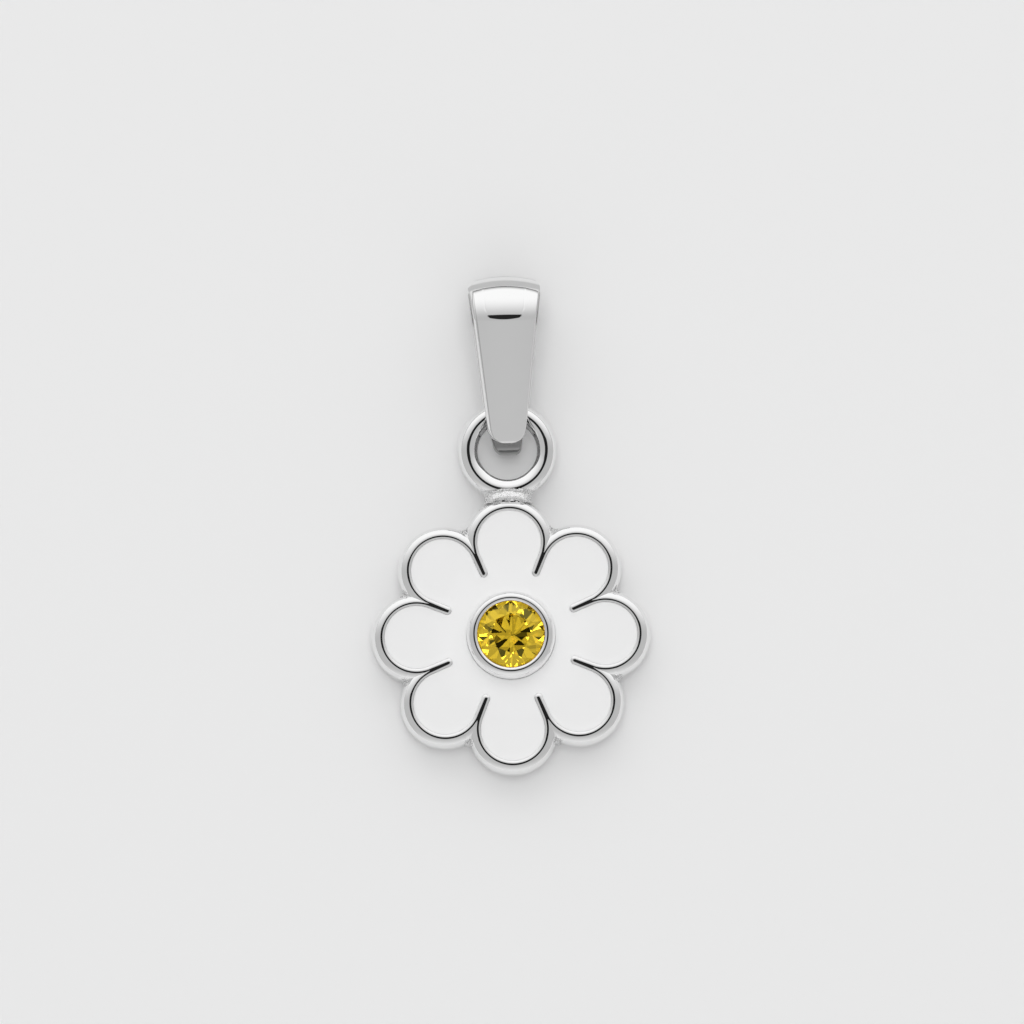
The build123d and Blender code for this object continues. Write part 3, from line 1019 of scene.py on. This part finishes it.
class PENDANT_OT_casting(bpy.types.Operator):
    """Builds the flower's silver casting with its bezel, neck and ring"""

    bl_idname = "pendant.casting"
    bl_label = "Casting"

    def execute(self, context):
        scene = context.scene
        sizes, bezel, ring = scene.flower_sizes, scene.bezel_sizes, scene.ring_sizes
        silver = plated_silver(scene.pendant_colours)
        rays = LobeRays(sizes, bezel)
        piece = new_piece("flower_casting", *petal_share(rays, sizes, bezel))
        set_round(piece, sizes.petals, silver)
        flatten_top_ridge(piece, rays, sizes)
        finish_mesh(piece, 38)
        neck = RingAndNeck(rays, sizes, ring)
        join_solids(piece, [neck.wire_solid(), neck.neck_solid()])
        finish_mesh(piece, 38)
        mark_casting(piece, neck)
        coat(piece, silver)
        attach(piece, "flower")
        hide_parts("flower_frame")
        return {"FINISHED"}


class PENDANT_OT_enamel(bpy.types.Operator):
    """Fills the petals with white enamel"""

    bl_idname = "pendant.enamel"
    bl_label = "Enamel"

    def execute(self, context):
        scene = context.scene
        sizes = scene.flower_sizes
        white = white_enamel(scene.pendant_colours)
        rays = LobeRays(sizes, scene.bezel_sizes)
        piece = new_piece("petal_enamel", *enamel_share(rays, sizes))
        set_round(piece, sizes.petals, white)
        fill_flats(piece)
        finish_mesh(piece, 50)
        coat(piece, white)
        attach(piece, "flower")
        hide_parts("enamel")
        return {"FINISHED"}


class PENDANT_OT_stone(bpy.types.Operator):
    """Cuts the stone"""

    bl_idname = "pendant.stone"
    bl_label = "Stone"

    def execute(self, context):
        scene = context.scene
        piece = cut_stone(scene.stone_sizes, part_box("stone")[1].z)
        coat(piece, yellow_zirconia(scene.pendant_colours))
        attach(piece, "flower")
        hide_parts("stone")
        return {"FINISHED"}


class BailLoop:
    """The bail's outline from its side: a flattened top with a tighter bend where the front leg
    begins, a straight leg, and the rounded end where the leg's end is closed on a small block."""

    def __init__(self, bail, ring, rays):
        wire = rays.centre + rays.crest_r + ring.neck_l + 2 * ring.mean_r
        self.start = wire - bail.hang
        self.end = self.start + bail.whole_l
        self.bail = bail
        nose_lift, self.slit_h = 0.20 * MM, 0.012 * MM
        crown, bend = math.radians(65), math.radians(90)
        spread = bail.crown_r * (math.sin(bend) - math.sin(crown)) + bail.bend_r * (1 - math.sin(bend))
        self.end_r = (2 * bail.top_r - spread) / (1 + math.sin(crown))
        self.angles = (crown, bend)
        self.tip = Vector((self.start + bail.tip_r, bail.tip_r))
        self.top = Vector((self.end - self.end_r, self.end_r))
        self.crown = self.top + self.toward(crown) * (self.end_r - bail.crown_r)
        self.bend = self.crown + self.toward(bend) * (bail.crown_r - bail.bend_r)
        span = self.bend - self.tip
        self.leg = math.atan2(span.y, span.x) + math.acos((bail.tip_r - bail.bend_r) / span.length)
        slope = self.toward(self.leg + math.pi / 2)
        self.nose = self.tip + self.toward(self.leg) * bail.tip_r + slope * nose_lift
        self.nose_r = 0.11 * MM
        self.round_end = self.nose - self.toward(self.leg) * self.nose_r
        self.front = self.round_end.x - self.nose_r
        self.slit = self.round_end.y - self.nose_r - self.slit_h

    def toward(self, angle):
        return Vector((math.cos(angle), math.sin(angle)))

    def stations(self):
        """Outer points, inner points and half widths, round the loop."""
        bail = self.bail
        crown, bend = self.angles
        down = -math.pi / 2
        turn = 2 * math.pi
        block_drop, ledge_drop = 0.234 * MM, 0.018 * MM
        ledge_slope, under_slope = 0.28, 0.30
        outline = []

        def add(point, way, half):
            outline.append((point, point - way * self.thickness(way), half(point.x)))

        def arc(centre, radius, start, end, count, half):
            for share in shares(count)[:-1]:
                way = self.toward(start + share * (end - start))
                add(centre + way * radius, way, half)

        def run(angle, first, last, count, half):
            for share in shares(count)[:-1]:
                add(first.lerp(last, share), self.toward(angle), half)

        def closed(points, half, first, last):
            for k, point in enumerate(points):
                way = self.toward(first + (last - first) * k / len(points))
                inner = self.tip + way * (bail.tip_r - self.thickness(way))
                outline.append((point, inner, half(point.x)))

        arc(self.top, self.end_r, crown, down, 44, self.half_width)
        run(down, Vector((self.top.x, 0)), Vector((self.tip.x, 0)), 28, self.block_half)
        block = math.pi - math.asin((self.slit - block_drop - self.tip.y) / bail.tip_r) - turn
        arc(self.tip, bail.tip_r, down, block, 34, self.block_half)
        corner = self.tip + self.toward(block) * bail.tip_r
        back = self.front + 0.30 * MM
        ledge = [Vector((y, self.slit - ledge_drop + ledge_slope * (y - self.round_end.x)))
                 for y in shares(6, corner.x + 0.10 * MM, back)]
        bent = corner + Vector((0.035, 0.066)) * MM
        rise = [corner.lerp(bent, part).lerp(bent.lerp(ledge[0], part), part) for part in shares(5)[:-1]]
        middle = (block + self.leg - turn) / 2
        closed(rise + ledge, self.block_half, block, middle)
        under = [Vector((y, self.slit + self.slit_h + under_slope * (y - self.round_end.x)))
                 for y in shares(4, back, self.round_end.x + 0.04 * MM)]
        under += [self.round_end + self.toward(a) * self.nose_r
                  for a in shares(12, math.radians(270), self.leg)[:-1]]
        closed(under, self.under_half, middle, self.leg - turn)
        joint = self.bend + self.toward(self.leg) * bail.bend_r
        straight = self.nose.lerp(joint, bail.nose_corner_r / (joint - self.nose).length)
        run(self.leg, self.nose, straight, 12, self.nose_half)
        run(self.leg, straight, joint, 38, self.nose_half)
        arc(self.bend, bail.bend_r, self.leg, bend, 20, self.half_width)
        arc(self.crown, bail.crown_r, bend, crown, 14, self.half_width)
        return outline

    def half_width(self, y):
        """Half the strip's width seen from above, with the wide end's corners rounded."""
        bail = self.bail
        low = self.start - bail.corner_out
        high = self.end + bail.corner_out
        y = min(max(y, self.start), self.end)
        half = (bail.tip_w + (y - low) / (high - low) * (bail.top_w - bail.tip_w)) / 2
        return half - arc_drop(max(0.0, bail.corner_r - (high - y)), bail.corner_r)

    def nose_half(self, y):
        """Half the width of the front leg, whose end is rounded."""
        corner = self.bail.nose_corner_r
        near = min(1.0, max(0.0, 1 - max(0.0, y - self.front) / corner))
        squareness = 2.6
        return self.half_width(y) - corner * (1 - (1 - near ** squareness) ** (1 / squareness))

    def block_half(self, y):
        """Half the width of the back leg and of the block that it ends in, which is narrower."""
        block_r = 0.26 * MM
        narrow = 0.14 * MM * (1 - smooth(y, self.start + 0.65 * MM, self.start + 1.35 * MM))
        near = max(0.0, block_r - (y - self.start))
        return self.half_width(y) - narrow - 0.8 * arc_drop(near, block_r)

    def under_half(self, y):
        """Half the width under the front leg's end, no wider than the block that it is closed on."""
        return min(self.nose_half(y), self.block_half(y))

    def thickness(self, way):
        """The strip is thicker where it closes at the tip."""
        share = smooth(-way.x, 0.2, 1.0)
        return self.bail.strip_t + share * (self.bail.tip_t - self.bail.strip_t)

    def crease_at(self, y):
        """How far from the middle the buff's facets meet on the outer face, and how deep."""
        near, far, deepest = self.end - 1.95 * MM, self.end - 0.80 * MM, 0.012 * MM
        share = min(1.0, max(0.0, (y - near) / (far - near)))
        depth = band(y, near + 0.12 * MM, near + 0.35 * MM, far, far + 0.1 * MM)
        return 0.70 * MM + 0.48 * MM * share, deepest * depth


def edge_round(width, depth, power, count):
    """A rounded edge: distances outwards and downwards from where the face ends."""
    points = []
    for share in shares(count):
        angle = share * math.pi / 2
        out = math.sin(angle) ** (2 / power)
        down = 1 - max(0.0, math.cos(angle)) ** (2 / power)
        points.append((width * out, depth * down))
    return points


def bail_points(loop, outer, inner, half):
    """One section of the strip: outer face, rounded edges and inner face. The left edge is ground
    wider than the right."""
    bail = loop.bail
    thick = (outer - inner).length
    way = (outer - inner) / thick
    thin = min(1.0, thick / bail.strip_t)
    crease, crease_depth = loop.crease_at(outer.x if way.y > 0 else 0.0)
    left = min(bail.left_edge, 0.4 * half)
    right = min(bail.right_edge, 0.2 * half)
    low, high = -half + left, half - right
    crease = min(crease, 0.7 * half - left)
    wide, crease_w = 0.06 * MM, 0.03 * MM
    stops = [low + 0.04 * MM, -crease - wide, -crease + wide, crease - wide, crease + wide, high]
    face = [low, low + 0.02 * MM, high]
    for count, first, last in zip((4, 6, 6, 6, 4), stops, stops[1:]):
        face += shares(count, first, last)[:-1]
    section = []
    for x in sorted(face)[:-1]:
        beside = (abs(x) - crease) / crease_w
        section.append((x, crease_depth * math.exp(-beside * beside)))
    for out, down in edge_round(right, 0.16 * MM * thin, 2.0, 6):
        section.append((high + out, down))
    inside = bail.inner_edge_r
    for out, down in reversed(edge_round(inside, inside, 2.0, 4)):
        section.append((half - inside + out, thick - down))
    section += [(x, thick) for x in shares(8, half - inside, -half + inside)[1:-1]]
    for out, down in edge_round(inside, inside, 2.0, 4):
        section.append((-half + inside - out, thick - down))
    for out, down in reversed(edge_round(left, 0.24 * MM * thin, 1.4, 8)[1:]):
        section.append((low - out, down))
    points = []
    for x, depth in section:
        sag = arc_drop(x, bail.dome_r) * (1 - depth / thick)
        spot = outer - way * (depth + sag)
        points.append(Vector((x, spot.x, max(spot.y, 0.0))))
    return points


def mark_bail(piece, loop):
    """Marks the closed tip, left slightly rough under the leg's end and darkened there as painted shade,
    painted dark reflection bands on the wide end's outer rim, and painted dark lines along the strip's
    edges.
    """
    rough, dull_shade = [], []
    for vert in piece.data.vertices:
        x, y, z = vert.co
        closed = z < loop.slit and y < loop.front + 0.35 * MM
        under = smooth(z, 0.1 * MM, 0.4 * MM) if closed else 0.0
        steep = math.degrees(math.atan2(y - loop.top.x, z - loop.top.y))
        # Painted dark reflection bands across the wide end's rounded top
        rim = 0.40 * band(steep, 40, 43, 54, 58) + 0.60 * smooth(steep, 71, 75)
        half = loop.nose_half(y)
        # Painted dark lines along the strip's edges
        line = 1 - smooth(abs(x + half - loop.bail.left_edge), 0.004 * MM, 0.018 * MM)
        line = max(line, smooth(abs(x), half - 0.035 * MM, half - 0.02 * MM))
        line *= smooth(z, 1.3 * MM, 1.5 * MM) * (1 - smooth(steep, 30, 50))
        rough.append(0.15 * under)
        # Painted shade under the front leg's end, darkest at the top, on a closure that is also left
        # slightly rough
        dull_shade.append(max((0.66 + 0.10 * smooth(z, 0.9 * MM, 1.5 * MM)) * under, rim, 0.5 * line))
    mark(piece, rough, dull_shade)


class PENDANT_OT_bail(bpy.types.Operator):
    """Builds the tapered bail"""

    bl_idname = "pendant.bail"
    bl_label = "Bail"

    def execute(self, context):
        scene = context.scene
        rays = LobeRays(scene.flower_sizes, scene.bezel_sizes)
        loop = BailLoop(scene.bail_sizes, scene.ring_sizes, rays)
        columns = [bail_points(loop, *station) for station in loop.stations()]
        verts = [p for column in columns for p in column]
        piece = new_piece("bail_loop", verts, loop_faces(len(columns), len(columns[0])))
        finish_mesh(piece, 50)
        mark_bail(piece, loop)
        silver = bpy.data.materials.get("plated_silver") or plated_silver(scene.pendant_colours)
        coat(piece, silver)
        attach(piece, "bail")
        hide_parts("bail")
        return {"FINISHED"}


def studio_world():
    """A pale grey studio with a bright wall of light beyond the bail, a dark place overhead where
    the camera stands, and thin grey seams on both sides."""
    world = bpy.data.worlds.new("studio")
    bpy.context.scene.world = world
    tree = empty_tree(world)
    way = node(tree, "ShaderNodeTexCoord").outputs["Generated"]
    axes = node(tree, "ShaderNodeSeparateXYZ", {0: way}).outputs
    deep = DARK_SIDE + DARK_FAR
    inputs = {0: way, 1: (1 / DARK_SIDE, 1 / deep, 0), 2: (0, -DARK_FAR / deep, 0)}
    round_spot = node(tree, "ShaderNodeVectorMath", inputs, operation="MULTIPLY_ADD")
    spot = node(tree, "ShaderNodeVectorMath", {0: round_spot}, operation="LENGTH").outputs["Value"]
    values = {"y": axes["Y"], "z": axes["Z"], "spot": spot}
    level = 0.0
    for strength, fades in WALLS:
        share = 1.0
        for value, *ends in fades:
            inputs = dict(zip(RANGE_ENDS, ends), Value=values[value])
            fade = node(tree, "ShaderNodeMapRange", inputs, interpolation_type="SMOOTHSTEP")
            share = node(tree, "ShaderNodeMath", {0: share, 1: fade}, operation="MULTIPLY")
        inputs = {"Factor": share, "A": level, "B": strength}
        level = node(tree, "ShaderNodeMix", inputs, data_type="FLOAT")
    light = node(tree, "ShaderNodeBackground", {"Color": (1, 1, 1, 1), "Strength": level})
    node(tree, "ShaderNodeOutputWorld", {"Surface": light})


def soft_light(scene, name, place, size, energy, through):
    """A soft lamp that fills the floor and the enamel, or else one that only lights the stone from
    inside. The silver shows the studio's walls in its place."""
    data = bpy.data.lights.new(name, "AREA")
    data.shape = "SQUARE"
    data.size = size
    data.energy = energy
    lamp = bpy.data.objects.new(name, data)
    scene.collection.objects.link(lamp)
    place = Vector(place)
    turned = place.to_track_quat("Z", "Y").to_matrix().to_4x4()
    turned.translation = place
    lamp.matrix_world = turned
    lamp.visible_camera = False
    lamp.visible_glossy = False
    lamp.visible_diffuse = not through
    lamp.visible_transmission = through


def place_camera(scene):
    """A long lens almost straight above, a little towards the flower, turned a degree."""
    target = Vector((0.149, 5.39, 1.0)) * MM
    elevation = math.radians(82)
    lean = math.radians(1.15)
    distance = 0.6
    field = PICTURE_W / PIXELS_PER_MM * MM
    data = bpy.data.cameras.new("camera")
    data.sensor_width = 36
    data.lens = data.sensor_width * distance / field
    data.clip_start, data.clip_end = 0.01, 10
    camera = bpy.data.objects.new("camera", data)
    scene.collection.objects.link(camera)
    back = Vector((0, -math.cos(elevation), math.sin(elevation)))
    turned = (-back).to_track_quat("-Z", "Y").to_matrix().to_4x4() @ Matrix.Rotation(-lean, 4, "Z")
    turned.translation = target + back * distance
    camera.matrix_world = turned
    scene.camera = camera


class PENDANT_OT_stage(bpy.types.Operator):
    """Sets up the floor, the light and the camera"""

    bl_idname = "pendant.stage"
    bl_label = "Stage"

    def execute(self, context):
        scene = context.scene
        reach = 0.5
        corners = [(-reach, -reach, 0), (reach, -reach, 0), (reach, reach, 0), (-reach, reach, 0)]
        floor = new_piece("floor", corners, [(0, 1, 2, 3)])
        coat(floor, pale_floor(scene.pendant_colours))
        studio_world()
        for lamp in LAMPS:
            soft_light(scene, *lamp)
        place_camera(scene)
        scene.view_settings.view_transform = "Standard"
        return {"FINISHED"}


class PENDANT_PT_panel(bpy.types.Panel):
    """Lists the pendant's pieces"""

    bl_idname = "PENDANT_PT_panel"
    bl_label = "Daisy pendant"
    bl_space_type = "VIEW_3D"
    bl_region_type = "UI"
    bl_category = "Pendant"

    def draw(self, context):
        for operator in OPERATORS:
            self.layout.operator(operator.bl_idname)


GROUPS = {
    "flower_sizes": FlowerSizes,
    "stone_sizes": StoneSizes,
    "bezel_sizes": BezelSizes,
    "ring_sizes": RingSizes,
    "bail_sizes": BailSizes,
    "pendant_colours": PendantColours,
}
OPERATORS = (
    PENDANT_OT_stage,
    PENDANT_OT_casting,
    PENDANT_OT_enamel,
    PENDANT_OT_stone,
    PENDANT_OT_bail,
)


def register():
    for name, group in GROUPS.items():
        bpy.utils.register_class(group)
        setattr(bpy.types.Scene, name, bpy.props.PointerProperty(type=group))
    for operator in OPERATORS:
        bpy.utils.register_class(operator)
    bpy.utils.register_class(PENDANT_PT_panel)


def unregister():
    bpy.utils.unregister_class(PENDANT_PT_panel)
    for operator in reversed(OPERATORS):
        bpy.utils.unregister_class(operator)
    for name, group in GROUPS.items():
        delattr(bpy.types.Scene, name)
        bpy.utils.unregister_class(group)


def main():
    register()
    bpy.ops.pendant.stage()
    bpy.ops.pendant.casting()
    bpy.ops.pendant.enamel()
    bpy.ops.pendant.stone()
    bpy.ops.pendant.bail()


if __name__ == "__main__":
    main()
